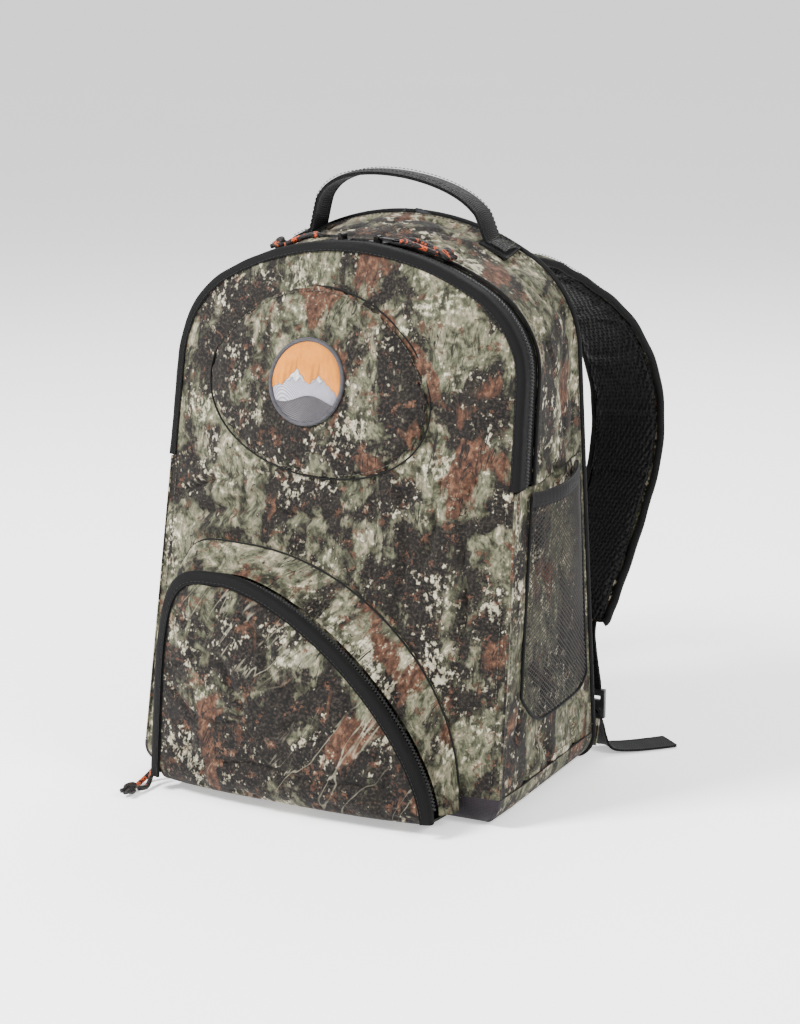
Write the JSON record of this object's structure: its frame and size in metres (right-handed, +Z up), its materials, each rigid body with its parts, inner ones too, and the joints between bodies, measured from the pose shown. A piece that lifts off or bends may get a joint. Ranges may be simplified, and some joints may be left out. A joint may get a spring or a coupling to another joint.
{
  "type": "hunting backpack",
  "caption": "Camouflage hunting daypack with an arched zip flap, D-shaped front pocket, mesh side pockets, padded shoulder straps, grab handle and cord zip pulls.",
  "frame": {"origin": "centre of the flat base, on the surface that the bag stands on", "axes": "+Z up along the bag's height, -Y out of the front with the zip pocket, +Y out of the back with the straps, +X to the right as seen from the front"},
  "size_m": [0.405, 0.3914, 0.4739],
  "materials": {
    "camo_cloth": "printed woven polyester, matt",
    "badge_cloth": "printed woven polyester, padded",
    "coated_cloth": "coated polyester, slight sheen",
    "air_mesh": "spacer mesh, matt",
    "pocket_mesh": "open knitted net",
    "webbing": "ribbed woven webbing",
    "zip_trim": "woven tape, matt",
    "zip_chain": "moulded coil",
    "slider_metal": "black lacquer",
    "cord_orange": "braided cord",
    "cord_black": "braided cord",
    "buckle_plastic": "moulded",
    "stiffener": "extruded sheet",
    "patch_twill": "embroidered twill"
  },
  "bodies": {
    "root": {"back_panel": "air_mesh", "back_pad_left": "air_mesh", "back_pad_right": "air_mesh", "lumbar_pad": "air_mesh", "frame_sheet": "stiffener", "inner_sleeve": "zip_trim", "top_gusset": "camo_cloth", "side_panel_left": "camo_cloth", "side_panel_right": "camo_cloth", "base_panel": "coated_cloth", "front_lower_panel": "camo_cloth", "main_zip_chain": "zip_chain", "gusset_zip_tape": "zip_trim", "pocket_gusset": "camo_cloth", "pocket_floor": "coated_cloth", "pocket_zip_tape": "zip_trim", "mesh_pocket_left": "pocket_mesh", "mesh_pocket_right": "pocket_mesh", "mesh_binding_left": "zip_trim", "mesh_binding_right": "zip_trim", "handle_anchor_left": "webbing", "handle_anchor_right": "webbing", "strap_yoke": "webbing", "anchor_wing_left": "camo_cloth", "anchor_wing_right": "camo_cloth", "ladder_lock_left": "buckle_plastic", "ladder_lock_right": "buckle_plastic", "webbing_tail_left": "webbing", "webbing_tail_right": "webbing"},
    "main_flap": {"front_panel": "camo_cloth", "badge_panel": "badge_cloth", "badge_patch": "patch_twill", "main_zip_cover": "zip_trim", "flap_zip_tape": "zip_trim"},
    "pocket_flap": {"pocket_face": "camo_cloth", "pocket_zip_cover": "zip_trim"},
    "slider_left": {"main_slider_left": "slider_metal"},
    "slider_right": {"main_slider_right": "slider_metal"},
    "pull_left": {"main_pull_left": "slider_metal", "main_cord_left_a": "cord_orange", "main_cord_left_b": "cord_black", "main_knot_left": "cord_black"},
    "pull_right": {"main_pull_right": "slider_metal", "main_cord_right_a": "cord_orange", "main_cord_right_b": "cord_black", "main_knot_right": "cord_black"},
    "slider_pocket": {"pocket_slider": "slider_metal"},
    "pull_pocket": {"pocket_pull": "slider_metal", "pocket_cord_a": "cord_orange", "pocket_cord_b": "cord_black", "pocket_knot": "cord_black"},
    "handle": {"grab_handle": "webbing"},
    "strap_left": {"strap_shell_left": "camo_cloth", "strap_lining_left": "air_mesh", "strap_webbing_left": "webbing"},
    "strap_right": {"strap_shell_right": "camo_cloth", "strap_lining_right": "air_mesh", "strap_webbing_right": "webbing"}
  },
  "joints": [
    {"name": "main_flap_fold", "type": "hinge", "parent": "root", "child": "main_flap", "pos_m": [0, -0.0866, 0.25], "axis": [1, 0, 0], "range_deg": [0, 70]},
    {"name": "pocket_flap_fold", "type": "hinge", "parent": "root", "child": "pocket_flap", "pos_m": [0, -0.1575, 0.0115], "axis": [1, 0, 0], "range_deg": [0, 75]},
    {"name": "slider_left_run", "type": "hinge", "parent": "root", "child": "slider_left", "pos_m": [0, -0.029, 0.205], "axis": [0, -1, 0], "range_deg": [0, 22]},
    {"name": "slider_right_run", "type": "hinge", "parent": "root", "child": "slider_right", "pos_m": [0, -0.029, 0.205], "axis": [0, 1, 0], "range_deg": [0, 22]},
    {"name": "pull_left_swing", "type": "hinge", "parent": "slider_left", "child": "pull_left", "pos_m": [-0.01562, -0.029, 0.42845], "axis": [0, 1, 0], "range_deg": [0, 85]},
    {"name": "pull_right_swing", "type": "hinge", "parent": "slider_right", "child": "pull_right", "pos_m": [0.01562, -0.029, 0.42845], "axis": [0, -1, 0], "range_deg": [0, 85]},
    {"name": "slider_pocket_run", "type": "slide", "parent": "root", "child": "slider_pocket", "axis": [0, 0.0995, 0.995], "range_m": [0, 0.03]},
    {"name": "pull_pocket_swing", "type": "hinge", "parent": "slider_pocket", "child": "pull_pocket", "pos_m": [-0.123, -0.128, 0.04], "axis": [0, 0.995, -0.0995], "range_deg": [0, 75]},
    {"name": "handle_fold", "type": "hinge", "parent": "root", "child": "handle", "pos_m": [0, 0.042, 0.424], "axis": [1, 0, 0], "range_deg": [-20, 30]},
    {"name": "strap_left_swing", "type": "hinge", "parent": "root", "child": "strap_left", "pos_m": [-0.062, 0.078, 0.404], "axis": [-0.2095, 0.0634, -0.9758], "range_deg": [-18, 14]},
    {"name": "strap_right_swing", "type": "hinge", "parent": "root", "child": "strap_right", "pos_m": [0.062, 0.078, 0.404], "axis": [0.2095, 0.0634, -0.9758], "range_deg": [-14, 18]}
  ]
}
